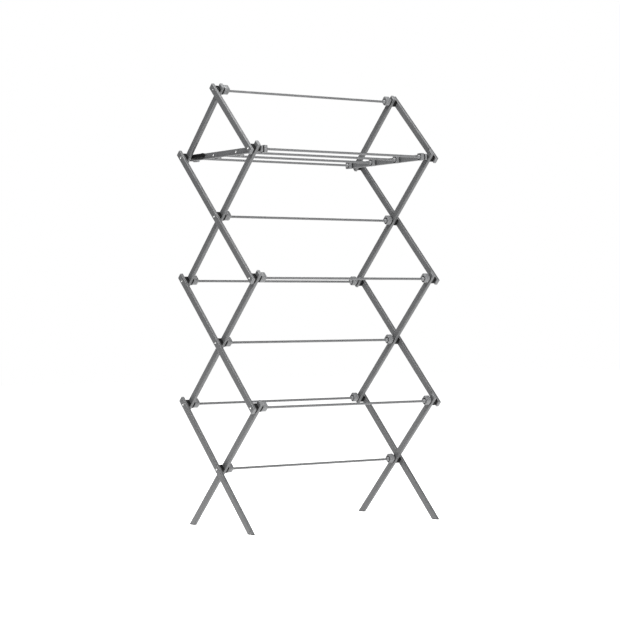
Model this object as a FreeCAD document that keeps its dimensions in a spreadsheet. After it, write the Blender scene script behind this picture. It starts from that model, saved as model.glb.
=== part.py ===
import FreeCAD, Part
import math
import os
import re

import Sketcher

# Folding clothes drying rack: two lazy-tongs end frames joined by rods, with a hooked top shelf.
# Frame: X along the rods, Y from front to rear, Z up. The origin is on the floor, midway between
# the end frames and between the front and rear pivots. Millimetres.

SIZES = {
    "frame_length": 744,      # between the outer faces of the two end frames
    "tier_height": 405,       # vertical distance between two levels of side pivots
    "frame_depth": 405,       # front to rear pivots
    "cross_height": 193,      # lowest crossing above the floor
    "bar_width": 22,
    "bar_thickness": 11,
    "bar_wall": 0.8,
    "bar_corner": 2.5,
    "layer_gap": 11,          # between the outer and inner bars of an end frame
    "top_overhang": 25,       # bar end beyond its upper pivot
    "bottom_overhang": 17,    # bar end beyond its lower pivot
    "apex_overhang": 21,
    "rod_radius": 3.9,
    "rod_wall": 0.8,
    "rod_socket": 24,         # rod length held in a connector
    "pin_radius": 2.3,
    "pin_reach": 52,          # pin length from the outer face of the frame
    "head_radius": 3.4,
    "head_height": 1.8,
    "running_gap": 0.1,
    "side_gap": 0.2,          # spacers and bushes stand this far from the next body
    "spacer_size": 22,        # across flats
    "spacer_corner": 2,
    "bush_radius": 7,
    "collar_size": 20,        # rod connector, from the bar inwards: collar, block and nose
    "collar_corner": 2,
    "collar_depth": 5,
    "block_size": 26,
    "block_corner": 7,
    "block_depth": 18,
    "block_rise": 3,          # block's centre above the rod's axis
    "nose_depth": 7,
    "nose_base": 7.5,         # radii of the nose's two ends
    "nose_tip": 5.3,
    "plug_head": 3,
    "plug_depth": 10,
    "plug_round": 1.6,
    "foot_sole": 2.5,
    "foot_plug": 22,
    "shelf_inset": 9,         # inner bar's inner face to the shelf bar's outer face
    "side_height": 20,        # shelf bar
    "side_thickness": 8,
    "side_corner": 3,
    "side_plug_head": 2,
    "side_plug_depth": 6,
    "side_collar": 4.5,       # shelf connector, in the order of the frame connector
    "side_block": 12,
    "side_block_size": 24,
    "side_block_corner": 3,
    "side_socket": 18,
    "shelf_overhang": 12,     # shelf bar beyond its end rods
    "hook_length": 90,
    "hook_height": 13,
    "hook_thickness": 8.4,
    "hook_gap": 0.3,
    "stub_radius": 4.5,
    "screw_reach": 20,
}

# Places that follow from the sizes, as expressions in their names.
LEAN = "atan(frame_depth / tier_height)"
HALF_BAR = "(sqrt(frame_depth^2 + tier_height^2) / 2)"
OUTER_X = "(frame_length / 2 - bar_thickness / 2)"
INNER_X = "(frame_length / 2 - 1.5 * bar_thickness - layer_gap)"
SEAT_X = "(frame_length / 2 - 2 * bar_thickness - layer_gap)"
SHELF_X = "(frame_length / 2 - 2 * bar_thickness - layer_gap - shelf_inset)"
GAP_X = "(frame_length / 2 - bar_thickness - layer_gap / 2)"
FRONT = "(-frame_depth / 2)"
REAR = "(frame_depth / 2)"
FRAME_STACK = ["collar_depth", "block_depth", "nose_depth"]
SHELF_STACK = ["side_collar", "side_block", "nose_depth"]
FRAME_BLOCK = ["block_size", "block_size", "block_corner"]
SHELF_BLOCK = ["side_block_size", "side_block_size", "side_block_corner"]
BAR_OUTLINE = ["bar_thickness", "bar_width", "bar_corner"]
SIDE_OUTLINE = ["side_thickness", "side_height", "side_corner"]

# Heights of the crossings and of the side pivots, from the floor up.
CROSS = {
    "bottom": "cross_height",
    "lower": "(cross_height + tier_height)",
    "upper": "(cross_height + 2 * tier_height)",
    "apex": "(cross_height + 3 * tier_height)",
}
LEVEL = {
    "lower": "(cross_height + tier_height / 2)",
    "upper": "(cross_height + 1.5 * tier_height)",
    "shelf": "(cross_height + 2.5 * tier_height)",
}

X_AXIS = FreeCAD.Vector(1, 0, 0)
Y_AXIS = FreeCAD.Vector(0, 1, 0)
Z_AXIS = FreeCAD.Vector(0, 0, 1)
SIDES = {"left": -1, "right": 1}

doc = FreeCAD.newDocument("clothes_drying_rack")
sheet = doc.addObject("Spreadsheet::Sheet", "Dimensions")
for row, (word, number) in enumerate(SIZES.items(), start=1):
    sheet.set(f"A{row}", word)
    sheet.set(f"B{row}", str(number))
    sheet.setAlias(f"B{row}", word)
doc.recompute()

SUB_PARTS = []


def total(stack):
    return "(" + " + ".join(stack) + ")"


def inside(outline, gap="0"):
    """The outline of a tube's bore, or of a spigot that fits in it with a gap."""
    thickness, width, corner = outline
    return [f"({thickness} - 2 * bar_wall - {gap})", f"({width} - 2 * bar_wall - {gap})",
            f"({corner} - bar_wall - {gap})"]


def in_sheet(expression):
    """The expression with every size named as a cell of the sheet."""
    return re.sub(r"[a-z]+_[a-z]+", lambda word: "Dimensions." + word.group(0), expression)


def value(expression):
    return float(sheet.evalExpression(expression))


def bind(thing, **properties):
    """Bind properties to expressions; a double underscore stands for the dot in a path."""
    for path, expression in properties.items():
        thing.setExpression(path.replace("__", "."), in_sheet(expression))


def place(thing, x="0", y="0", z="0", axis=X_AXIS, angle="0"):
    """Put a thing at a bound position, turned about an axis by a bound angle."""
    thing.Placement = FreeCAD.Placement(FreeCAD.Vector(), FreeCAD.Rotation(axis, 1))
    bind(thing, Placement__Base__x=x, Placement__Base__y=y, Placement__Base__z=z,
         Placement__Rotation__Angle=angle)


def sub_part(thing, label):
    thing.Label = label
    SUB_PARTS.append(thing)
    return thing


def new_body(name):
    return doc.addObject("PartDesign::Body", name)


def new_sketch(body, name, role="XY_Plane", offset="0", shift="0"):
    """A sketch on one of the body's planes, raised by an offset and shifted along both its axes."""
    sketch = body.newObject("Sketcher::SketchObject", name)
    plane = next(item for item in body.Origin.OriginFeatures if item.Role == role)
    sketch.AttachmentSupport = [(plane, "")]
    sketch.MapMode = "FlatFace"
    bind(sketch, AttachmentOffset__Base__x=shift, AttachmentOffset__Base__y=shift,
         AttachmentOffset__Base__z=offset)
    return sketch


def fix(sketch, kind, *items, name, size):
    """Add a named dimension to a sketch and bind it to an expression."""
    index = sketch.addConstraint(Sketcher.Constraint(kind, *items, value(size)))
    sketch.renameConstraint(index, name)
    sketch.setExpression("Constraints." + name, in_sheet(size))


def draw_circle(sketch, radius, name, height="0"):
    """A circle on the sketch's vertical axis."""
    center = FreeCAD.Vector(0, value(height), 0)
    circle = sketch.addGeometry(Part.Circle(center, Z_AXIS, value(radius)))
    if value(height) == 0:
        sketch.addConstraint(Sketcher.Constraint("Coincident", circle, 3, -1, 1))
    else:
        sketch.addConstraint(Sketcher.Constraint("PointOnObject", circle, 3, -2))
        if value(height) > 0:
            fix(sketch, "DistanceY", -1, 1, circle, 3, name=name + "_height", size=height)
        else:
            fix(sketch, "DistanceY", circle, 3, -1, 1, name=name + "_height", size="-" + height)
    fix(sketch, "Radius", circle, name=name + "_radius", size=radius)


def draw_rounded_rectangle(sketch, width, height, radius, name):
    """A rectangle with rounded corners, centred on the sketch's origin."""
    half_w = value(width) / 2
    half_h = value(height) / 2
    corner = value(radius)
    arcs = []
    for quarter, (right, up) in enumerate([(1, 1), (-1, 1), (-1, -1), (1, -1)]):
        center = FreeCAD.Vector(right * (half_w - corner), up * (half_h - corner), 0)
        turn = quarter * math.pi / 2
        circle = Part.Circle(center, Z_AXIS, corner)
        arcs.append(Part.ArcOfCircle(circle, turn, turn + math.pi / 2))
    lines = [Part.LineSegment(arcs[i].EndPoint, arcs[(i + 1) % 4].StartPoint) for i in range(4)]
    arc_ids = [sketch.addGeometry(arc) for arc in arcs]
    line_ids = [sketch.addGeometry(line) for line in lines]
    for i in range(4):
        sketch.addConstraint(Sketcher.Constraint("Tangent", arc_ids[i], 2, line_ids[i], 1))
        sketch.addConstraint(Sketcher.Constraint("Tangent", line_ids[i], 2, arc_ids[(i + 1) % 4], 1))
        direction = "Horizontal" if i % 2 == 0 else "Vertical"
        sketch.addConstraint(Sketcher.Constraint(direction, line_ids[i]))
    for i in range(1, 4):
        sketch.addConstraint(Sketcher.Constraint("Equal", arc_ids[0], arc_ids[i]))
    sketch.addConstraint(Sketcher.Constraint("Symmetric", arc_ids[0], 3, arc_ids[2], 3, -1, 1))
    fix(sketch, "Radius", arc_ids[0], name=name + "_corner", size=radius)
    fix(sketch, "DistanceX", line_ids[1], 1, line_ids[3], 1, name=name + "_width", size=width)
    fix(sketch, "DistanceY", line_ids[2], 1, line_ids[0], 1, name=name + "_height", size=height)


def pad(body, sketch, length, symmetric=False, reverse=False):
    feature = body.newObject("PartDesign::Pad", sketch.Name + "_pad")
    feature.Profile = sketch
    feature.Reversed = reverse
    if symmetric:
        feature.SideType = "Symmetric"
    bind(feature, Length=length)
    sketch.Visibility = False
    return feature


def pocket(body, sketch, length):
    """Cut the sketch out on both sides of its plane, over the whole length."""
    doc.recompute()
    before = body.Shape.Volume
    feature = body.newObject("PartDesign::Pocket", sketch.Name + "_pocket")
    feature.Profile = sketch
    feature.SideType = "Symmetric"
    bind(feature, Length=length)
    doc.recompute()
    if body.Shape.Volume >= before:
        raise RuntimeError(sketch.Name + " cuts nothing")
    return feature


def tube_bar(name, below, above, holes):
    """A flat tube along local Z, with pivot holes along X at the given heights."""
    body = new_body(name)
    profile = new_sketch(body, name + "_profile", offset="-" + below)
    draw_rounded_rectangle(profile, *BAR_OUTLINE, "outside")
    draw_rounded_rectangle(profile, *inside(BAR_OUTLINE), "inside")
    pad(body, profile, below + " + " + above)
    drilling = new_sketch(body, name + "_holes", "YZ_Plane")
    for number, height in enumerate(holes):
        draw_circle(drilling, "(pin_radius + running_gap)", f"hole_{number}", height)
    pocket(body, drilling, "2 * bar_thickness")
    return body


def full_bar(label, layer, side, height, tilt):
    """A bar with a pivot at its middle and one at each end."""
    below = f"({HALF_BAR} + bottom_overhang - plug_head)"
    above = f"({HALF_BAR} + top_overhang - plug_head)"
    body = tube_bar(label, below, above, ["-" + HALF_BAR, "0", HALF_BAR])
    place(body, x=f"{side} * {layer}", z=height, angle=f"{tilt} * {LEAN}")
    return sub_part(body, label)


def top_bar(label, layer, side, tilt):
    """A half-length bar from a side pivot of the shelf level up to the apex."""
    above = f"({HALF_BAR} + apex_overhang - plug_head)"
    body = tube_bar(label, "(bottom_overhang - plug_head)", above, ["0", HALF_BAR])
    place(body, x=f"{side} * {layer}", y=f"{tilt} * {REAR}", z=LEVEL["shelf"], angle=f"{tilt} * {LEAN}")
    return sub_part(body, label)


def leg_bar(label, layer, side, tilt):
    """A leg: a bar whose lower end is cut level, just above the floor."""
    below = f"({HALF_BAR} + bottom_overhang)"
    above = f"({HALF_BAR} + top_overhang - plug_head)"
    whole = tube_bar(label + "_tube", below, above, ["0", HALF_BAR])
    place(whole, x=f"{side} * {layer}", z=CROSS["bottom"], angle=f"{tilt} * {LEAN}")
    floor = doc.addObject("Part::Box", label + "_floor")
    bind(floor, Length="frame_length", Width="2 * frame_depth", Height="frame_depth")
    place(floor, x="-frame_length / 2", y="-frame_depth", z="foot_sole - frame_depth")
    leg = doc.addObject("Part::Cut", label)
    leg.Base = whole
    leg.Tool = floor
    return sub_part(leg, label)


def rod(label, y, z, reach):
    """A round tube along X, from one socket to the other."""
    body = new_body(label)
    section = new_sketch(body, label + "_section", "YZ_Plane")
    draw_circle(section, "rod_radius", "outside")
    draw_circle(section, "(rod_radius - rod_wall)", "inside")
    pad(body, section, f"2 * {reach}", symmetric=True)
    place(body, y=y, z=z)
    return sub_part(body, label)


def bush(name, length):
    """A ring along local X, centred on its middle."""
    body = new_body(name)
    section = new_sketch(body, name + "_section", "YZ_Plane")
    draw_circle(section, "bush_radius", "outside")
    draw_circle(section, "(pin_radius + running_gap / 2)", "inside")
    pad(body, section, length, symmetric=True)
    return body


def spacer(name, length):
    """A square block along local X, centred on its middle, with a hole for the pin."""
    body = new_body(name)
    section = new_sketch(body, name + "_section", "YZ_Plane")
    draw_rounded_rectangle(section, "spacer_size", "spacer_size", "spacer_corner", "outside")
    draw_circle(section, "(pin_radius + running_gap / 2)", "inside")
    pad(body, section, length, symmetric=True)
    return body


def flush_pin(name, reach):
    """A headless pin along local -X; the origin is at its outer end."""
    body = new_body(name)
    shaft = new_sketch(body, name + "_shaft", "YZ_Plane")
    draw_circle(shaft, "pin_radius", "shaft")
    pad(body, shaft, reach, reverse=True)
    return body


def pin(name, reach):
    """A pin with a domed head outside; the origin is under the head."""
    body = flush_pin(name, reach)
    head = new_sketch(body, name + "_head", "YZ_Plane")
    draw_circle(head, "head_radius", "head")
    feature = pad(body, head, "head_height")
    bind(feature, TaperAngle="-30")
    return body


def hook_pin(name):
    """A pivot pin that goes on past the inner bar as a thicker stub, for the shelf hook to rest on."""
    reach = "(2 * bar_thickness + layer_gap + side_gap)"
    body = pin(name, reach)
    collar = new_sketch(body, name + "_collar", "YZ_Plane", offset="-" + reach)
    draw_circle(collar, "stub_radius", "collar")
    pad(body, collar, "shelf_inset - 3 * side_gap", reverse=True)
    return body


def connector(name, stack, block_outline, rise, socket_depth):
    """A moulded rod end along local Z, from the bar towards the rod. The stack gives the lengths
    of its collar, block and nose. The block stands off centre, towards one of its corners."""
    body = new_body(name)
    collar_depth, block_depth, nose_depth = stack
    collar = new_sketch(body, name + "_collar")
    draw_rounded_rectangle(collar, "collar_size", "collar_size", "collar_corner", "collar")
    pad(body, collar, collar_depth)
    block = new_sketch(body, name + "_block", offset=collar_depth, shift=f"{rise} / sqrt(2)")
    draw_rounded_rectangle(block, *block_outline, "block")
    pad(body, block, block_depth)
    nose = new_sketch(body, name + "_nose", offset=total(stack[:2]))
    draw_circle(nose, "nose_base", "nose")
    cone = pad(body, nose, nose_depth)
    bind(cone, TaperAngle="-atan((nose_base - nose_tip) / nose_depth)")
    bore = new_sketch(body, name + "_pin_bore")
    draw_circle(bore, "(pin_radius + running_gap)", "bore")
    pocket(body, bore, "3 * " + total(stack))
    socket = new_sketch(body, name + "_socket", offset=total(stack))
    draw_circle(socket, "(rod_radius + running_gap)", "socket")
    pocket(body, socket, f"2 * ({socket_depth} + side_gap)")
    return body


def end_plug(name, outline, head_length, depth):
    """A moulded plug along local Z: a spigot in the tube and a head of the tube's own outline."""
    body = new_body(name)
    spigot = new_sketch(body, name + "_spigot")
    draw_rounded_rectangle(spigot, *inside(outline, "side_gap"), "spigot")
    pad(body, spigot, depth, reverse=True)
    head = new_sketch(body, name + "_head")
    draw_rounded_rectangle(head, *outline, "head")
    head_pad = pad(body, head, head_length)
    doc.recompute()
    top = max(range(len(head_pad.Shape.Faces)), key=lambda i: head_pad.Shape.Faces[i].CenterOfMass.z)
    edge = body.newObject("PartDesign::Fillet", name + "_rounding")
    edge.Base = (head_pad, [f"Face{top + 1}"])
    bind(edge, Radius="plug_round")
    return body


def slab(name, bottom, top):
    """A wide flat block between two heights, used to trim the feet."""
    box = doc.addObject("Part::Box", name)
    bind(box, Length="2 * bar_thickness", Width="4 * bar_width", Height=f"{top} - {bottom}")
    place(box, x="-bar_thickness", y="-2 * bar_width", z=bottom)
    return box


def foot(name):
    """A moulded foot for a leg that leans forward: a level sole and a spigot in the leg.
    Its origin is on the floor, on the leg's centre line."""
    pieces = []
    layers = [
        ("sole", BAR_OUTLINE, "0", "foot_sole"),
        ("spigot", inside(BAR_OUTLINE, "side_gap"), "foot_sole", "foot_plug"),
    ]
    for word, outline, bottom, top in layers:
        blank = new_body(f"{name}_{word}_blank")
        profile = new_sketch(blank, f"{name}_{word}_profile")
        draw_rounded_rectangle(profile, *outline, word)
        pad(blank, profile, "6 * foot_plug", symmetric=True)
        place(blank, angle=f"-1 * {LEAN}")
        trimmed = doc.addObject("Part::MultiCommon", f"{name}_{word}")
        trimmed.Shapes = [blank, slab(f"{name}_{word}_slab", bottom, top)]
        pieces.append(trimmed)
    whole = doc.addObject("Part::MultiFuse", name)
    whole.Shapes = pieces
    return whole


def group(label, original, places, *others):
    """Copies of one original at bound places, and of any others at theirs, as one sub-part."""
    copies = []
    for source, spots in ((original, places), *others):
        for spot in spots:
            copy = doc.addObject("App::Link", label + "_copy")
            copy.LinkedObject = source
            place(copy, **spot)
            copies.append(copy)
    whole = doc.addObject("Part::Compound", label)
    whole.Links = copies
    return sub_part(whole, label)


def both_sides(x, **spot):
    """The same spot on the left and the right end frame."""
    return [dict(spot, x=f"{side} * {x}") for side in SIDES.values()]


def pin_places(x, y, z):
    """Pins put in from both ends; the left one is turned about Z."""
    return [dict(x=f"-{x}", y=y, z=z, axis=Z_AXIS, angle="180"), dict(x=x, y=y, z=z)]


def end_places(layer, tilt, y, z, reach, upwards):
    """Both sides' bar ends, a reach along the bar from the pivot at y and z."""
    sign = 1 if upwards else -1
    along_y = f"{y} - {sign * tilt} * ({reach}) * sin({LEAN})"
    along_z = f"{z} + {sign} * ({reach}) * cos({LEAN})"
    angle = f"{tilt} * {LEAN}" + ("" if upwards else " + 180 deg")
    return both_sides(layer, y=along_y, z=along_z, angle=angle)


# Crossed bars of the end frames. A tilt of -1 leans to the rear going up, +1 to the front.
TILT = {"outer": -1, "inner": 1}
LAYER_X = {"outer": OUTER_X, "inner": INNER_X}
for layer, tilt in TILT.items():
    for word, side in SIDES.items():
        top_bar(f"top_{layer}_bar_{word}", LAYER_X[layer], side, tilt)
        full_bar(f"upper_{layer}_bar_{word}", LAYER_X[layer], side, CROSS["upper"], tilt)
        full_bar(f"lower_{layer}_bar_{word}", LAYER_X[layer], side, CROSS["lower"], tilt)
        leg_bar(f"leg_{layer}_bar_{word}", LAYER_X[layer], side, tilt)

# Rods. The frame rods sit in connectors on the inner bars, the shelf rods in the shelf bars.
SHELF_SEAT_X = f"({SHELF_X} - side_thickness)"
ROD_REACH = f"({SEAT_X} - {total(FRAME_STACK)} + rod_socket)"
SHELF_REACH = f"({SHELF_SEAT_X} - {total(SHELF_STACK)} + side_socket)"
FRAME_RODS = {
    "top_rod": ("0", CROSS["apex"]),
    "upper_cross_rod": ("0", CROSS["upper"]),
    "upper_front_rod": (FRONT, LEVEL["upper"]),
    "upper_rear_rod": (REAR, LEVEL["upper"]),
    "lower_cross_rod": ("0", CROSS["lower"]),
    "lower_front_rod": (FRONT, LEVEL["lower"]),
    "lower_rear_rod": (REAR, LEVEL["lower"]),
    "bottom_cross_rod": ("0", CROSS["bottom"]),
}
SHELF_RODS = {
    "shelf_front_rod": FRONT,
    "shelf_mid_front_rod": "(-frame_depth / 6)",
    "shelf_mid_rear_rod": "(frame_depth / 6)",
    "shelf_rear_rod": REAR,
}
for label, (y, z) in FRAME_RODS.items():
    rod(label, y, z, ROD_REACH)
for label, y in SHELF_RODS.items():
    rod(label, y, LEVEL["shelf"], SHELF_REACH)

# Rod connectors, turned square to the bar that carries them.
CONNECTOR_GROUPS = {
    "top_connectors": ["top_rod"],
    "upper_connectors": ["upper_cross_rod", "upper_rear_rod"],
    "lower_connectors": ["upper_front_rod", "lower_cross_rod", "lower_rear_rod"],
    "leg_connectors": ["lower_front_rod", "bottom_cross_rod"],
}


# Turns that lay local Z inwards from each side and keep the corner between local X and Y between
# the rear and the top.
INWARDS = {-1: FreeCAD.Rotation(FreeCAD.Vector(1, 1, 1), 120), 1: FreeCAD.Rotation(Y_AXIS, -90)}


def connector_group(label, original, spots, seat, lean):
    """Connectors on both end frames, each laid along X with its nose inwards, then leaned."""
    connectors = []
    for y, z in spots:
        for side in SIDES.values():
            laid = doc.addObject("App::Link", label + "_laid")
            laid.LinkedObject = original
            laid.Placement = FreeCAD.Placement(FreeCAD.Vector(), INWARDS[side])
            leaned = doc.addObject("Part::Compound", label + "_leaned")
            leaned.Links = [laid]
            place(leaned, x=f"{side} * {seat}", y=y, z=z, angle=lean)
            connectors.append(leaned)
    whole = doc.addObject("Part::Compound", label)
    whole.Links = connectors
    return sub_part(whole, label)


frame_connector = connector("frame_connector", FRAME_STACK, FRAME_BLOCK, "block_rise", "rod_socket")
shelf_connector = connector("shelf_connector", SHELF_STACK, SHELF_BLOCK, "0", "side_socket")
for label, rods in CONNECTOR_GROUPS.items():
    connector_group(label, frame_connector, [FRAME_RODS[name] for name in rods], SEAT_X, LEAN)
connector_group("shelf_connectors", shelf_connector, [(y, LEVEL["shelf"]) for y in SHELF_RODS.values()],
                SHELF_SEAT_X, "0")

# Pivot pins, with their heads on the outer faces of the frames. The ones at the apex, and the
# screws behind the shelf hooks, end flush.
cross_pin = pin("cross_pin", "pin_reach")
apex_pin = flush_pin("apex_pin", "pin_reach")
stub_pin = hook_pin("stub_pin")
shelf_screw = pin("shelf_screw", "screw_reach")
flush_screw = flush_pin("flush_screw", "screw_reach")
PIN_X = "(frame_length / 2)"
PIN_GROUPS = {
    "upper_pins": ["upper_cross_rod", "upper_rear_rod"],
    "lower_pins": ["upper_front_rod", "lower_cross_rod", "lower_rear_rod"],
    "leg_pins": ["lower_front_rod"],
    "bottom_cross_pins": ["bottom_cross_rod"],
}
for label, rods in PIN_GROUPS.items():
    group(label, cross_pin, sum((pin_places(PIN_X, *FRAME_RODS[name]) for name in rods), []))
group("top_pins", apex_pin, pin_places(PIN_X, *FRAME_RODS["top_rod"]))
group("shelf_pivot_pins", cross_pin, pin_places(PIN_X, FRONT, LEVEL["shelf"]))
group("hook_pins", stub_pin, pin_places(PIN_X, REAR, LEVEL["shelf"]))
MIDDLE_RODS = [SHELF_RODS["shelf_mid_front_rod"], SHELF_RODS["shelf_mid_rear_rod"]]
group("shelf_screws", shelf_screw, sum((pin_places(SHELF_X, y, LEVEL["shelf"]) for y in MIDDLE_RODS), []),
      (flush_screw, pin_places(SHELF_X, REAR, LEVEL["shelf"])))

# Spacers between the two layers of bars, and the bushes inside the inner bars at the shelf.
layer_spacer = spacer("layer_spacer", "(layer_gap - 2 * side_gap)")
inset_bush = bush("inset_bush", "(shelf_inset - 2 * side_gap)")
INSET_X = f"({SEAT_X} - shelf_inset / 2)"
SPACER_GROUPS = {
    "top_spacers": [FRAME_RODS["top_rod"], (REAR, LEVEL["shelf"])],
    "upper_spacers": [FRAME_RODS[name] for name in CONNECTOR_GROUPS["upper_connectors"]],
    "lower_spacers": [FRAME_RODS[name] for name in CONNECTOR_GROUPS["lower_connectors"]],
    "leg_spacers": [FRAME_RODS[name] for name in CONNECTOR_GROUPS["leg_connectors"]],
}
for label, spots in SPACER_GROUPS.items():
    group(label, layer_spacer, sum((both_sides(GAP_X, y=y, z=z, angle=LEAN) for y, z in spots), []))
group("shelf_pivot_bushes", layer_spacer, both_sides(GAP_X, y=FRONT, z=LEVEL["shelf"], angle=LEAN),
      (inset_bush, both_sides(INSET_X, y=FRONT, z=LEVEL["shelf"])))

# End plugs of the bars and feet of the legs.
plug = end_plug("plug", BAR_OUTLINE, "plug_head", "plug_depth")
for layer, tilt in TILT.items():
    layer_x = LAYER_X[layer]
    above = "top_overhang - plug_head"
    below = "bottom_overhang - plug_head"
    upper_y = f"({-tilt} * {REAR})"
    lower_y = f"({tilt} * {REAR})"
    group(f"top_{layer}_plugs", plug,
          end_places(layer_x, tilt, "0", CROSS["apex"], "apex_overhang - plug_head", True)
          + end_places(layer_x, tilt, lower_y, LEVEL["shelf"], below, False))
    group(f"upper_{layer}_plugs", plug,
          end_places(layer_x, tilt, upper_y, LEVEL["shelf"], above, True)
          + end_places(layer_x, tilt, lower_y, LEVEL["upper"], below, False))
    group(f"lower_{layer}_plugs", plug,
          end_places(layer_x, tilt, upper_y, LEVEL["upper"], above, True)
          + end_places(layer_x, tilt, lower_y, LEVEL["lower"], below, False))
    group(f"leg_{layer}_plugs", plug, end_places(layer_x, tilt, upper_y, LEVEL["lower"], above, True))

leg_foot = foot("leg_foot")
FOOT_Y = "cross_height * frame_depth / tier_height"
group("leg_outer_feet", leg_foot, both_sides(OUTER_X, y="-" + FOOT_Y))
group("leg_inner_feet", leg_foot, both_sides(INNER_X, y=FOOT_Y, axis=Z_AXIS, angle="180"))


# Shelf bars: flat tubes along Y, plugged at both ends.
SIDE_X = f"({SHELF_X} - side_thickness / 2)"
SIDE_END = "(frame_depth / 2 + shelf_overhang - side_plug_head)"


def shelf_bar(label, side):
    body = new_body(label)
    section = new_sketch(body, label + "_section", "XZ_Plane")
    draw_rounded_rectangle(section, *SIDE_OUTLINE, "outside")
    draw_rounded_rectangle(section, *inside(SIDE_OUTLINE), "inside")
    pad(body, section, f"2 * {SIDE_END}", symmetric=True)
    holes = new_sketch(body, label + "_holes", "YZ_Plane")
    for number, y in enumerate(SHELF_RODS.values()):
        center = FreeCAD.Vector(value(y), 0, 0)
        hole = holes.addGeometry(Part.Circle(center, Z_AXIS, value("pin_radius")))
        holes.addConstraint(Sketcher.Constraint("PointOnObject", hole, 3, -1))
        ends = (-1, 1, hole, 3) if value(y) > 0 else (hole, 3, -1, 1)
        distance = y if value(y) > 0 else f"-1 * {y}"
        fix(holes, "DistanceX", *ends, name=f"hole_{number}_place", size=distance)
        fix(holes, "Radius", hole, name=f"hole_{number}_radius", size="(pin_radius + running_gap)")
    pocket(body, holes, "4 * side_thickness")
    place(body, x=f"{side} * {SIDE_X}", z=LEVEL["shelf"])
    return sub_part(body, label)


def shelf_hook(name):
    """A moulded block on the shelf bar's outer face, with a notch that drops over the rear stub.
    Local frame: X outwards from the bar, Y to the rear, origin on the stub's axis."""
    middle = "(side_height - hook_height) / 2"
    block = doc.addObject("Part::Box", name + "_block")
    bind(block, Length="hook_thickness", Width="hook_length", Height="hook_height")
    place(block, y="shelf_overhang - hook_length", z="side_height / 2 - hook_height")
    boss = doc.addObject("Part::Cylinder", name + "_boss")
    bind(boss, Radius="hook_height / 2 + 1", Height="hook_thickness")
    place(boss, y="shelf_overhang - hook_length", z=middle, axis=Y_AXIS, angle="90")
    blank = doc.addObject("Part::MultiFuse", name + "_blank")
    blank.Shapes = [block, boss]
    round_seat = doc.addObject("Part::Cylinder", name + "_seat")
    bind(round_seat, Radius="stub_radius + hook_gap", Height="3 * hook_thickness")
    place(round_seat, x="-hook_thickness", axis=Y_AXIS, angle="90")
    slot = doc.addObject("Part::Box", name + "_slot")
    bind(slot, Length="3 * hook_thickness", Width="2 * (stub_radius + hook_gap)", Height="side_height")
    place(slot, x="-hook_thickness", y="-(stub_radius + hook_gap)", z="-side_height")
    notch = doc.addObject("Part::MultiFuse", name + "_notch")
    notch.Shapes = [round_seat, slot]
    hook = doc.addObject("Part::Cut", name)
    hook.Base = blank
    hook.Tool = notch
    mirrored = doc.addObject("Part::Mirroring", name + "_left")
    mirrored.Source = hook
    mirrored.Normal = X_AXIS
    return hook, mirrored


for word, side in SIDES.items():
    shelf_bar(f"shelf_bar_{word}", side)

side_plug = end_plug("side_plug", SIDE_OUTLINE, "side_plug_head", "side_plug_depth")
group("shelf_plugs", side_plug,
      both_sides(SIDE_X, y="-" + SIDE_END, z=LEVEL["shelf"], angle="90")
      + both_sides(SIDE_X, y=SIDE_END, z=LEVEL["shelf"], angle="-90"))

right_hook, left_hook = shelf_hook("rear_hook")
place(right_hook, x=SHELF_X, y=REAR, z=LEVEL["shelf"])
hooks = doc.addObject("Part::Compound", "shelf_hooks")
hooks.Links = [right_hook, left_hook]
sub_part(hooks, "shelf_hooks")

doc.recompute()
for thing in doc.Objects:
    if "Invalid" in thing.State or "Error" in thing.State:
        raise RuntimeError(f"{thing.Name} failed: {thing.State}")
os.makedirs("parts", exist_ok=True)
for thing in SUB_PARTS:
    if thing.Shape.isNull() or not thing.Shape.isValid():
        raise RuntimeError(f"{thing.Label} has no valid shape")
for thing in SUB_PARTS:
    thing.Shape.exportStep(f"parts/{thing.Label}.step")
    print(thing.Label, len(thing.Shape.Solids), round(thing.Shape.Volume))
print(len(SUB_PARTS), "sub-parts")
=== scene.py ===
import math

import bmesh
import bpy
from mathutils import Matrix, Vector


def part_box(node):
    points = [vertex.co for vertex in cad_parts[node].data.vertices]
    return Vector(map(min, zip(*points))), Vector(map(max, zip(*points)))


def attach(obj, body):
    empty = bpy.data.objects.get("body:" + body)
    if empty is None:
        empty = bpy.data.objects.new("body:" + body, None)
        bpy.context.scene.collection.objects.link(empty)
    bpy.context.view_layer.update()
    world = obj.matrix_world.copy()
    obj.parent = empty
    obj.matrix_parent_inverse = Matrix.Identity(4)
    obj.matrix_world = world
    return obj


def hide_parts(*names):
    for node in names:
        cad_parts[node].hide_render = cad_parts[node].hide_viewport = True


# Folding clothes drying rack. Metres; X along the rods, Y from front to rear, Z up.
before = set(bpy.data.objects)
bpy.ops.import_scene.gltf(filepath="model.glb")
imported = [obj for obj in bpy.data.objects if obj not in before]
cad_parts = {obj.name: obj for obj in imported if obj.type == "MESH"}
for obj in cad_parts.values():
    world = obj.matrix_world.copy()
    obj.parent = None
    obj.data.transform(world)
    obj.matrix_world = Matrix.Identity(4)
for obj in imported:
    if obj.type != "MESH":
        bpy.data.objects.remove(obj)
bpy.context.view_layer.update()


# ---- places ----

def middle(node):
    low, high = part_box(node)
    return (low + high) / 2


OUTER_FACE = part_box("upper_outer_bar_right")[1].x
OUTER_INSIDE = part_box("upper_outer_bar_right")[0].x
INNER_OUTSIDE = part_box("upper_inner_bar_right")[1].x
INNER_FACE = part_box("upper_inner_bar_right")[0].x
SHELF_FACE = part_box("shelf_bar_right")[1].x
SHELF_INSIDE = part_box("shelf_bar_right")[0].x
FRONT_REAR = middle("upper_rear_rod") - middle("upper_front_rod")
TIER = middle("upper_cross_rod") - middle("lower_cross_rod")
LEAN = math.atan2(FRONT_REAR.y, TIER.z)
SIDES = (-1, 1)


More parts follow.
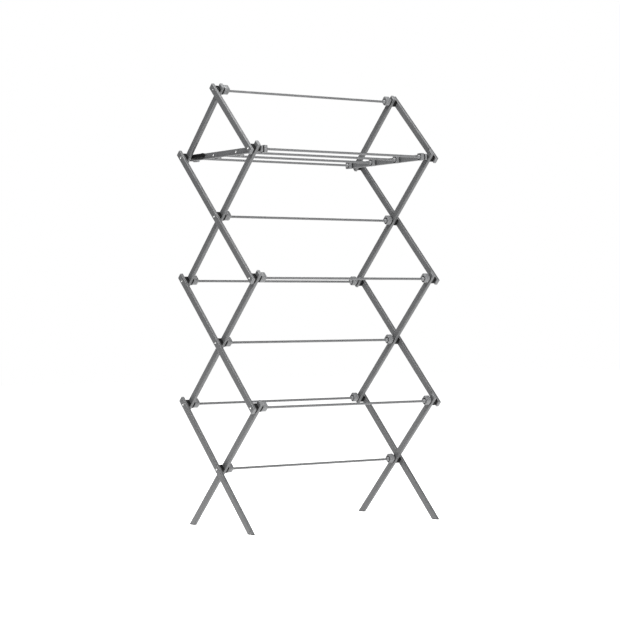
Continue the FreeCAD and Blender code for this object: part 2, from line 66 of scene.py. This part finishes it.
def spot(node):
    place = middle(node)
    return place.y, place.z


SHELF_RODS = ["shelf_front_rod", "shelf_mid_front_rod", "shelf_mid_rear_rod", "shelf_rear_rod"]
SHELF_FRONT = spot("shelf_front_rod")
SHELF_REAR = spot("shelf_rear_rod")

# ---- procedural materials ----

NOISE_LOW = 0.3
NOISE_HIGH = 0.7
WEAR_SCALE = 26
GLOSS_SCALE = 60
BUMP_STRENGTH = 0.15
RUBBED = 2.2

def new_material(name, metallic=0.0, roughness=0.5, specular=0.5):
    material = bpy.data.materials.new(name)
    material.use_nodes = True
    shader = material.node_tree.nodes["Principled BSDF"]
    shader.inputs["Metallic"].default_value = metallic
    shader.inputs["Roughness"].default_value = roughness
    shader.inputs["Specular IOR Level"].default_value = specular
    return material


def noise(material, scale, detail=4.0):
    """A noise texture in the object's own space."""
    tree = material.node_tree
    coordinates = tree.nodes.new("ShaderNodeTexCoord")
    texture = tree.nodes.new("ShaderNodeTexNoise")
    texture.inputs["Scale"].default_value = scale
    texture.inputs["Detail"].default_value = detail
    tree.links.new(coordinates.outputs["Object"], texture.inputs["Vector"])
    return texture


def ramp(material, texture, stops):
    """A colour ramp over a texture's value; stops are (position, colour)."""
    node = material.node_tree.nodes.new("ShaderNodeValToRGB")
    elements = node.color_ramp.elements
    while len(elements) < len(stops):
        elements.new(0.5)
    for element, (position, color) in zip(elements, stops):
        element.position = position
        element.color = (*color, 1)
    material.node_tree.links.new(texture.outputs["Fac"], node.inputs["Fac"])
    return node


def grey(level, tint=(1.0, 1.0, 1.0)):
    return tuple(level * part for part in tint)


def set_color(material, texture, stops):
    node = ramp(material, texture, stops)
    shader = material.node_tree.nodes["Principled BSDF"]
    material.node_tree.links.new(node.outputs["Color"], shader.inputs["Base Color"])


def set_roughness(material, texture, low, high):
    node = material.node_tree.nodes.new("ShaderNodeMapRange")
    node.inputs["From Min"].default_value = NOISE_LOW
    node.inputs["From Max"].default_value = NOISE_HIGH
    node.inputs["To Min"].default_value = low
    node.inputs["To Max"].default_value = high
    shader = material.node_tree.nodes["Principled BSDF"]
    material.node_tree.links.new(texture.outputs["Fac"], node.inputs["Value"])
    material.node_tree.links.new(node.outputs["Result"], shader.inputs["Roughness"])


def set_bump(material, texture, strength, distance):
    node = material.node_tree.nodes.new("ShaderNodeBump")
    node.inputs["Strength"].default_value = strength
    node.inputs["Distance"].default_value = distance
    shader = material.node_tree.nodes["Principled BSDF"]
    material.node_tree.links.new(texture.outputs["Fac"], node.inputs["Height"])
    material.node_tree.links.new(node.outputs["Normal"], shader.inputs["Normal"])


def finish_of(name, level, tint, spread, roughness, bump, grain, metallic=0.0, specular=0.5):
    """A finish with worn patches, uneven gloss and a fine grain."""
    material = new_material(name, metallic=metallic, specular=specular)
    wear = noise(material, WEAR_SCALE, detail=6)
    dark = grey(level * (1 - spread), tint)
    light = grey(level * (1 + spread), tint)
    rubbed = grey(level * (1 + RUBBED * spread), tint)
    set_color(material, wear, [(0.30, dark), (0.62, light), (0.72, rubbed)])
    set_roughness(material, noise(material, GLOSS_SCALE), *roughness)
    set_bump(material, noise(material, grain, detail=2), BUMP_STRENGTH, bump)
    return material


COOL = (0.985, 1.0, 1.02)
PAINT = finish_of("frame_paint", 0.085, COOL, 0.04, (0.26, 0.36), 0.00003, 500)
ROD_PAINT = finish_of("rod_paint", 0.10, COOL, 0.04, (0.24, 0.34), 0.00003, 500)
MOULDING = finish_of("grey_moulding", 0.125, COOL, 0.05, (0.32, 0.46), 0.00006, 600)
# Near-black: the hooks' colour; on the spacers and bushes it also stands for shade in the gaps between
# layers; on the connector collars and groove linings it is painted shade.
DARK_AND_PAINTED_SHADE = finish_of("dark_moulding", 0.004, COOL, 0.2, (0.5, 0.65), 0.0001, 800, specular=0.12)
RIVET = finish_of("rivet_steel", 0.78, (1.0, 1.0, 0.99), 0.04, (0.22, 0.36), 0.00005, 500, metallic=0.85)
SOLE = finish_of("foot_moulding", 0.03, COOL, 0.14, (0.6, 0.75), 0.00014, 600)

# ---- meshes: closed skins over runs of rounded rectangles ----

ROUND_STEPS = 7
EDGE_STEPS = 3
SHARP_ANGLE = math.radians(38)


def outline(half_a, half_b, corner):
    """Points round a rectangle with rounded corners; a corner as large as both halves gives a circle."""
    points = []
    for quarter, (sign_a, sign_b) in enumerate([(1, 1), (-1, 1), (-1, -1), (1, -1)]):
        for step in range(ROUND_STEPS + 1):
            angle = (quarter + (step + 0.5) / (ROUND_STEPS + 1)) * math.pi / 2
            points.append((sign_a * (half_a - corner) + corner * math.cos(angle),
                           sign_b * (half_b - corner) + corner * math.sin(angle)))
    return points


def layer(start, end, half, corner, edge, slot=0, shift=0.0):
    """Rings of one square layer between two heights, with its two edges rounded."""
    rings = []
    for step in range(EDGE_STEPS + 1):
        angle = step / EDGE_STEPS * math.pi / 2
        inset = edge * (1 - math.sin(angle))
        along = edge * (1 - math.cos(angle))
        rings.append((along, half - inset, half - inset, max(corner - inset, 0.2 * corner), slot, shift))
    low = [(start + ring[0], *ring[1:]) for ring in rings]
    high = [(end - ring[0], *ring[1:]) for ring in reversed(rings)]
    return low + high


def round_ring(height, radius, slot=0):
    return (height, radius, radius, radius, slot, 0.0)


def loft(rings, place):
    """The skin over a run of rings along local Z, as (points, faces, slots)."""
    points = []
    for height, half_a, half_b, corner, _, shift in rings:
        flat = outline(half_a, half_b, corner)
        points += [place @ Vector((a + shift, b + shift, height)) for a, b in flat]
    count = 4 * (ROUND_STEPS + 1)
    faces = [list(range(count))[::-1]]
    slots = [rings[0][4]]
    for level in range(len(rings) - 1):
        base = level * count
        for i in range(count):
            j = (i + 1) % count
            faces.append([base + i, base + j, base + count + j, base + count + i])
            slots.append(rings[level][4])
    faces.append([(len(rings) - 1) * count + i for i in range(count)])
    slots.append(rings[-1][4])
    return points, faces, slots


def piece(name, skins, materials, body, nodes):
    """One mesh of several closed skins, riding on a body in place of CAD nodes."""
    points, faces, slots = [], [], []
    for skin_points, skin_faces, skin_slots in skins:
        base = len(points)
        points += skin_points
        faces += [[base + i for i in face] for face in skin_faces]
        slots += skin_slots
    mesh = bpy.data.meshes.new(name)
    mesh.from_pydata(points, [], faces)
    for material in materials:
        mesh.materials.append(material)
    for polygon, index in zip(mesh.polygons, slots):
        polygon.material_index = index
        polygon.use_smooth = True
    work = bmesh.new()
    work.from_mesh(mesh)
    bmesh.ops.recalc_face_normals(work, faces=work.faces)
    work.to_mesh(mesh)
    work.free()
    mesh.set_sharp_from_angle(angle=SHARP_ANGLE)
    obj = bpy.data.objects.new(name, mesh)
    bpy.context.scene.collection.objects.link(obj)
    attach(obj, body)
    if nodes:
        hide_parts(*nodes)
    return obj


def across(side, x, y, z, lean=0.0):
    """A place on one end frame whose local Z points inwards along X. Its local X and Y lie to the
    rear and up, in that order or the other, turned by a lean."""
    inwards = Vector((-side, 0, 0))
    rearwards = Vector((0, math.cos(lean), math.sin(lean)))
    upwards = Vector((0, -math.sin(lean), math.cos(lean)))
    first, second = (rearwards, upwards) if side < 0 else (upwards, rearwards)
    turn = Matrix((first, second, inwards)).transposed().to_4x4()
    return Matrix.Translation((side * x, y, z)) @ turn


# ---- rod connectors ----

GAP = 0.0002
COLLAR_HALF = 0.01
COLLAR_CORNER = 0.002
COLLAR_EDGE = 0.0005
BLOCK_EDGE = 0.0015
NOSE = 0.007
NOSE_BASE = 0.0075
NOSE_TIP = 0.0053
GROOVE = 0.0028
GROOVE_DEPTH = 0.006
# Slots of the connector finishes: grey moulding, and painted shade on the collars and groove linings.
GREY_SLOT = 0
PAINTED_SHADE_SLOT = 1


def connector_rings(collar, block, half, corner, rise):
    """Collar, block, and a nose that stands in a deep groove in the block's inner end; the collar and the
    groove's walls and floor are painted near-black as painted shade.
    """
    top = collar + block
    shift = rise / math.sqrt(2)
    bottom = top - GROOVE_DEPTH
    outside = NOSE_BASE + GROOVE
    # The collar is painted near-black: painted shade between the bar and the block.
    rings = layer(GAP, collar, COLLAR_HALF, COLLAR_CORNER, COLLAR_EDGE, PAINTED_SHADE_SLOT)
    rings += layer(collar, top, half, corner, BLOCK_EDGE, GREY_SLOT, shift)
    # The groove's walls and floor are painted dark: painted shade in the recess.
    rings += [round_ring(top, outside, GREY_SLOT), round_ring(top - 0.0004, outside - 0.0003, PAINTED_SHADE_SLOT)]
    rings += [round_ring(bottom, outside - 0.0003, PAINTED_SHADE_SLOT), round_ring(bottom, NOSE_BASE, PAINTED_SHADE_SLOT)]
    rings += [round_ring(top - 0.0008, NOSE_BASE), round_ring(top + 0.35 * NOSE, NOSE_BASE - 0.0003)]
    rings += [round_ring(top + 0.5 * NOSE, NOSE_BASE - 0.001), round_ring(top + NOSE - 0.001, NOSE_TIP)]
    rings += [round_ring(top + NOSE, NOSE_TIP - 0.0008)]
    return rings


def connectors(name, body, spots, x, lean, rings):
    places = [across(side, x, y, z, lean) for y, z in spots for side in SIDES]
    skins = [loft(rings, place) for place in places]
    piece(name + "_detail", skins, [MOULDING, DARK_AND_PAINTED_SHADE], body, [name])


FRAME_RINGS = connector_rings(0.005, 0.018, 0.013, 0.007, 0.003)
CONNECTORS = {
    "top_connectors": ("top_inner", ["top_rod"]),
    "upper_connectors": ("upper_inner", ["upper_cross_rod", "upper_rear_rod"]),
    "lower_connectors": ("lower_inner", ["upper_front_rod", "lower_cross_rod", "lower_rear_rod"]),
    "leg_connectors": ("leg_inner", ["lower_front_rod", "bottom_cross_rod"]),
}
for name, (body, rods) in CONNECTORS.items():
    connectors(name, body, [spot(rod) for rod in rods], INNER_FACE, LEAN, FRAME_RINGS)
SHELF_RINGS = connector_rings(0.0045, 0.012, 0.012, 0.003, 0.0)
SHELF_SPOTS = [spot(rod) for rod in SHELF_RODS]
connectors("shelf_connectors", "shelf", SHELF_SPOTS, SHELF_INSIDE, 0.0, SHELF_RINGS)

# ---- spacers between the layers of bars, near-black, their darkness also painted shade in the gap ----

SPACER_HALF = 0.011
SPACER_CORNER = 0.002


def spacer_rings(start, end):
    """A square block with a shallow groove round its middle."""
    half = SPACER_HALF
    centre = (start + end) / 2
    rings = layer(start, end, half, SPACER_CORNER, 0.0006)
    groove = [(centre - 0.0012, half), (centre - 0.0008, half - 0.0006),
              (centre + 0.0008, half - 0.0006), (centre + 0.0012, half)]
    middle_rings = [(height, width, width, SPACER_CORNER, 0, 0.0) for height, width in groove]
    return rings[:EDGE_STEPS + 1] + middle_rings + rings[EDGE_STEPS + 1:]


LAYER_GAP = OUTER_INSIDE - INNER_OUTSIDE
SPACER_RINGS = spacer_rings(GAP, LAYER_GAP - GAP)


def spacers(spots):
    places = [across(side, OUTER_INSIDE, y, z, LEAN) for y, z in spots for side in SIDES]
    return [loft(SPACER_RINGS, place) for place in places]


SPACERS = {
    "top_spacers": ("top_inner", [spot("top_rod"), SHELF_REAR]),
    "upper_spacers": ("upper_inner", [spot(rod) for rod in CONNECTORS["upper_connectors"][1]]),
    "lower_spacers": ("lower_inner", [spot(rod) for rod in CONNECTORS["lower_connectors"][1]]),
    "leg_spacers": ("leg_inner", [spot(rod) for rod in CONNECTORS["leg_connectors"][1]]),
}
# The spacers are near-black; this also paints the shade in the gap between the layers.
for name, (body, spots) in SPACERS.items():
    piece(name + "_detail", spacers(spots), [DARK_AND_PAINTED_SHADE], body, [name])

INSET = INNER_FACE - SHELF_FACE
BUSH_RADIUS = 0.007
BUSH_EDGE = 0.0006
BUSH_GROOVE = 0.0008
bush = [round_ring(GAP, BUSH_RADIUS - BUSH_EDGE), round_ring(GAP + BUSH_EDGE, BUSH_RADIUS),
        round_ring(INSET / 2 - BUSH_GROOVE, BUSH_RADIUS), round_ring(INSET / 2, BUSH_RADIUS - BUSH_GROOVE),
        round_ring(INSET / 2 + BUSH_GROOVE, BUSH_RADIUS),
        round_ring(INSET - GAP - BUSH_EDGE, BUSH_RADIUS), round_ring(INSET - GAP, BUSH_RADIUS - BUSH_EDGE)]
bushes = [loft(bush, across(side, INNER_FACE, *SHELF_FRONT)) for side in SIDES]
# The pivot spacer and bushes are near-black; this also paints the shade in the gap between the inner bar
# and the shelf bar.
piece("shelf_pivot_bushes_detail", spacers([SHELF_FRONT]) + bushes, [DARK_AND_PAINTED_SHADE], "upper_inner",
      ["shelf_pivot_bushes"])

# ---- rivets ----

HEAD_RADIUS = 0.0034
HEAD_HEIGHT = 0.0018
RIM_HEIGHT = 0.0006
DOME_STEPS = 5
DOME_ANGLE = math.radians(78)
SHANK_RADIUS = 0.0023


def rivet_rings(reach):
    """A domed head with a thin rim, and a shank that runs inwards."""
    rings = []
    for step in range(DOME_STEPS + 1):
        angle = step / DOME_STEPS * DOME_ANGLE
        radius = max(HEAD_RADIUS * math.sin(angle), 0.0002)
        height = -RIM_HEIGHT - (HEAD_HEIGHT - RIM_HEIGHT) * math.cos(angle)
        rings.append(round_ring(height, radius))
    rings += [round_ring(-0.0005, HEAD_RADIUS), round_ring(-0.0002, HEAD_RADIUS)]
    rings += [round_ring(0, HEAD_RADIUS - 0.0003)]
    rings += [round_ring(0.00005, SHANK_RADIUS), round_ring(reach, SHANK_RADIUS)]
    return rings


def flush_rings(reach):
    """A rivet whose end is level with the surface, with a small chamfer and a dimple."""
    return [round_ring(0.0007, 0.0006), round_ring(0.0004, 0.0011), round_ring(0.0001, 0.0015),
            round_ring(0.0001, SHANK_RADIUS - 0.0003), round_ring(0.0004, SHANK_RADIUS),
            round_ring(reach, SHANK_RADIUS)]


def rivets(rings, x, spots):
    return [loft(rings, across(side, x, y, z)) for y, z in spots for side in SIDES]


REACH = 0.05
RIVETS = {
    "upper_pins": ("upper_inner", ["upper_cross_rod", "upper_rear_rod"]),
    "lower_pins": ("lower_inner", ["upper_front_rod", "lower_cross_rod", "lower_rear_rod"]),
    "leg_pins": ("leg_inner", ["lower_front_rod"]),
    "bottom_cross_pins": ("bottom_cross", ["bottom_cross_rod"]),
}
for name, (body, rods) in RIVETS.items():
    skins = rivets(rivet_rings(REACH), OUTER_FACE, [spot(rod) for rod in rods])
    piece(name + "_detail", skins, [RIVET], body, [name])
top_skins = rivets(flush_rings(REACH), OUTER_FACE, [spot("top_rod")])
piece("top_pins_detail", top_skins, [RIVET], "top_inner", ["top_pins"])
pivot_skins = rivets(rivet_rings(REACH), OUTER_FACE, [SHELF_FRONT])
piece("shelf_pivot_pins_detail", pivot_skins, [RIVET], "upper_inner", ["shelf_pivot_pins"])

STUB_RADIUS = 0.0045
STUB_LENGTH = 0.008
STUB_START = OUTER_FACE - INNER_FACE + GAP
STUB_RIM = STUB_START + STUB_LENGTH
stub = [round_ring(STUB_START, STUB_RADIUS - 0.0005), round_ring(STUB_START + 0.0003, STUB_RADIUS),
        round_ring(STUB_RIM, STUB_RADIUS), round_ring(STUB_RIM + 0.0003, STUB_RADIUS - 0.0004),
        round_ring(STUB_RIM + 0.0003, 0.0015), round_ring(STUB_RIM - 0.0002, 0.0010)]
hook_pin_skins = rivets(rivet_rings(STUB_START), OUTER_FACE, [SHELF_REAR])
hook_pin_skins += rivets(stub, OUTER_FACE, [SHELF_REAR])
piece("hook_pins_detail", hook_pin_skins, [RIVET], "top_inner", ["hook_pins"])

SCREW_REACH = 0.018
screw_skins = rivets(rivet_rings(SCREW_REACH), SHELF_FACE, SHELF_SPOTS[1:3])
screw_skins += rivets(flush_rings(SCREW_REACH), SHELF_FACE, [SHELF_REAR])
piece("shelf_screws_detail", screw_skins, [RIVET], "shelf", ["shelf_screws"])

# ---- shelf hooks and the lips of the shelf bars ----

HOOK_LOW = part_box("shelf_hooks")[0]
HOOK_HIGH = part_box("shelf_hooks")[1]
SIDE_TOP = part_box("shelf_bar_right")[1].z
HOOK_HEIGHT = 0.013
BOSS_RADIUS = HOOK_HEIGHT / 2 + 0.001
NOTCH_RADIUS = 0.0048
HOOK_BOTTOM = SIDE_TOP - HOOK_HEIGHT
BOSS_Y = HOOK_LOW.y + BOSS_RADIUS
BOSS_Z = SIDE_TOP - HOOK_HEIGHT / 2


def arc(y, z, radius, start, end, steps):
    """Points (y, z) along an arc, with its angles in degrees from the rear."""
    turns = [math.radians(start + (end - start) * step / steps) for step in range(steps + 1)]
    return [(y + radius * math.cos(turn), z + radius * math.sin(turn)) for turn in turns]


def hook_outline():
    """The hook seen from the side: a rounded front end, and a notch for the stub near the rear."""
    foot = math.degrees(math.asin((HOOK_BOTTOM - BOSS_Z) / BOSS_RADIUS))
    rear_y, stub_z = SHELF_REAR
    front = arc(BOSS_Y, BOSS_Z, BOSS_RADIUS, -foot, 360 + foot, 20)
    notch = [(rear_y - NOTCH_RADIUS, HOOK_BOTTOM)] + arc(rear_y, stub_z, NOTCH_RADIUS, 180, 0, 12)
    notch.append((rear_y + NOTCH_RADIUS, HOOK_BOTTOM))
    tail = arc(HOOK_HIGH.y - 0.003, HOOK_BOTTOM + 0.002, 0.002, -90, 0, 4)
    tail += arc(HOOK_HIGH.y - 0.003, SIDE_TOP - 0.003, 0.003, 0, 90, 5)
    return front + notch + tail


def plate(points, start, end, side, edge):
    """A plate of a given side outline between two distances from the middle, with rounded rims."""
    work = bmesh.new()
    base = work.faces.new([work.verts.new((side * start, y, z)) for y, z in points])
    grown = bmesh.ops.extrude_face_region(work, geom=[base])
    moved = [item for item in grown["geom"] if isinstance(item, bmesh.types.BMVert)]
    bmesh.ops.translate(work, vec=(side * (end - start), 0, 0), verts=moved)
    bmesh.ops.recalc_face_normals(work, faces=work.faces)
    rims = [item for item in work.edges if abs(item.verts[0].co.x - item.verts[1].co.x) < 1e-7]
    bmesh.ops.bevel(work, geom=rims, offset=edge, segments=2, profile=0.6, affect="EDGES")
    work.verts.index_update()
    corners = [item.co.copy() for item in work.verts]
    faces = [[item.index for item in face.verts] for face in work.faces]
    work.free()
    return corners, faces, [0] * len(faces)


HOOK_OUTSIDE = HOOK_HIGH.x
hook_skins = [plate(hook_outline(), SHELF_FACE + 0.0001, HOOK_OUTSIDE, side, 0.0007) for side in SIDES]
RIB_TOP = SIDE_TOP - 0.003
RIB_FOOT = HOOK_BOTTOM + 0.003
RIB_START = BOSS_Y + 0.012
RIB_SPACING = 0.009
RIB_WIDTH = 0.003
RIB_COUNT = 5
for side in SIDES:
    for step in range(RIB_COUNT):
        near = RIB_START + RIB_SPACING * step
        far = near + RIB_WIDTH
        rib = [(near, RIB_FOOT), (far, RIB_FOOT), (far, RIB_TOP), (near, RIB_TOP)]
        hook_skins.append(plate(rib, HOOK_OUTSIDE - 0.0005, HOOK_OUTSIDE + 0.0003, side, 0.0002))
piece("shelf_hooks_detail", hook_skins, [DARK_AND_PAINTED_SHADE], "shelf", ["shelf_hooks"])

SIDE_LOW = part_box("shelf_bar_right")[0]
SIDE_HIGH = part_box("shelf_bar_right")[1]
LIP = 0.0012
LIP_INSET = 0.001
LIP_HEIGHT = 0.0045
LIP_FRONT = SIDE_LOW.y + LIP_INSET
LIP_REAR = SIDE_HIGH.y - LIP_INSET
LIP_FOOT = SIDE_LOW.z + LIP_INSET
LIP_TOP = LIP_FOOT + LIP_HEIGHT
lip = [(LIP_FRONT, LIP_FOOT), (LIP_REAR, LIP_FOOT), (LIP_REAR, LIP_TOP), (LIP_FRONT, LIP_TOP)]
lips = [plate(lip, SHELF_FACE - 0.002, SHELF_FACE + LIP, side, 0.0005) for side in SIDES]
piece("shelf_bar_lips", lips, [PAINT], "shelf", [])

# ---- finishes of the bars, rods, plugs and feet ----


def material_for(name):
    if "plugs" in name:
        return MOULDING
    if "feet" in name:
        return SOLE
    if name.endswith("rod"):
        return ROD_PAINT
    return PAINT


for name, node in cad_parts.items():
    node.data.materials.clear()
    node.data.materials.append(material_for(name))

# ---- studio ----

GROUND = 14.0
floor_mesh = bpy.data.meshes.new("studio_floor")
corners = [(-GROUND, -GROUND, 0), (GROUND, -GROUND, 0), (GROUND, GROUND, 0), (-GROUND, GROUND, 0)]
floor_mesh.from_pydata(corners, [], [(0, 1, 2, 3)])
floor = bpy.data.objects.new("studio_floor", floor_mesh)
bpy.context.scene.collection.objects.link(floor)
floor_material = new_material("studio_floor", roughness=0.9, specular=0.1)
set_color(floor_material, noise(floor_material, 2), [(0.3, grey(0.78)), (0.7, grey(0.82))])
floor_shader = floor_material.node_tree.nodes["Principled BSDF"]
floor_shader.inputs["Emission Color"].default_value = (1, 1, 1, 1)
floor_shader.inputs["Emission Strength"].default_value = 1.0
floor_mesh.materials.append(floor_material)


def area_light(name, place, target, size, energy):
    data = bpy.data.lights.new(name, "AREA")
    data.shape = "RECTANGLE"
    data.size, data.size_y = size
    data.energy = energy
    light = bpy.data.objects.new(name, data)
    light.location = place
    light.rotation_euler = (Vector(target) - Vector(place)).to_track_quat("-Z", "Y").to_euler()
    bpy.context.scene.collection.objects.link(light)


CENTRE = (0, 0, 0.7)
area_light("top_softbox", (-0.3, -0.8, 3.7), CENTRE, (3.0, 3.0), 150)
area_light("left_softbox", (-3.2, -2.4, 3.3), CENTRE, (0.9, 0.9), 150)
area_light("front_softbox", (1.0, -4.4, 1.2), CENTRE, (2.6, 2.0), 50)

# The backdrop looks white, and lights the rack only dimly.
AMBIENT = 0.12
world = bpy.data.worlds.new("studio")
world.use_nodes = True
background = world.node_tree.nodes["Background"]
background.inputs["Color"].default_value = (1, 1, 1, 1)
light_path = world.node_tree.nodes.new("ShaderNodeLightPath")
brightness = world.node_tree.nodes.new("ShaderNodeMapRange")
brightness.inputs["To Min"].default_value = AMBIENT
brightness.inputs["To Max"].default_value = 1.0
world.node_tree.links.new(light_path.outputs["Is Camera Ray"], brightness.inputs["Value"])
world.node_tree.links.new(brightness.outputs["Result"], background.inputs["Strength"])
bpy.context.scene.world = world
bpy.context.scene.view_settings.view_transform = "Standard"

# ---- camera ----

EYE = Vector((-3.7054, -5.3159, 0.6611))
YAW = 0.6086
PITCH = 0.0062
ROLL = -0.0103
forward = Vector((math.sin(YAW) * math.cos(PITCH), math.cos(YAW) * math.cos(PITCH), math.sin(PITCH)))
level_right = Vector((math.cos(YAW), -math.sin(YAW), 0))
level_up = level_right.cross(forward)
right = math.cos(ROLL) * level_right + math.sin(ROLL) * level_up
up = -math.sin(ROLL) * level_right + math.cos(ROLL) * level_up
camera_data = bpy.data.cameras.new("camera")
camera_data.lens = 113.74
camera_data.sensor_width = 36
camera = bpy.data.objects.new("camera", camera_data)
turn = Matrix((right, up, -forward)).transposed().to_4x4()
camera.matrix_world = Matrix.Translation(EYE) @ turn
bpy.context.scene.collection.objects.link(camera)
bpy.context.scene.camera = camera
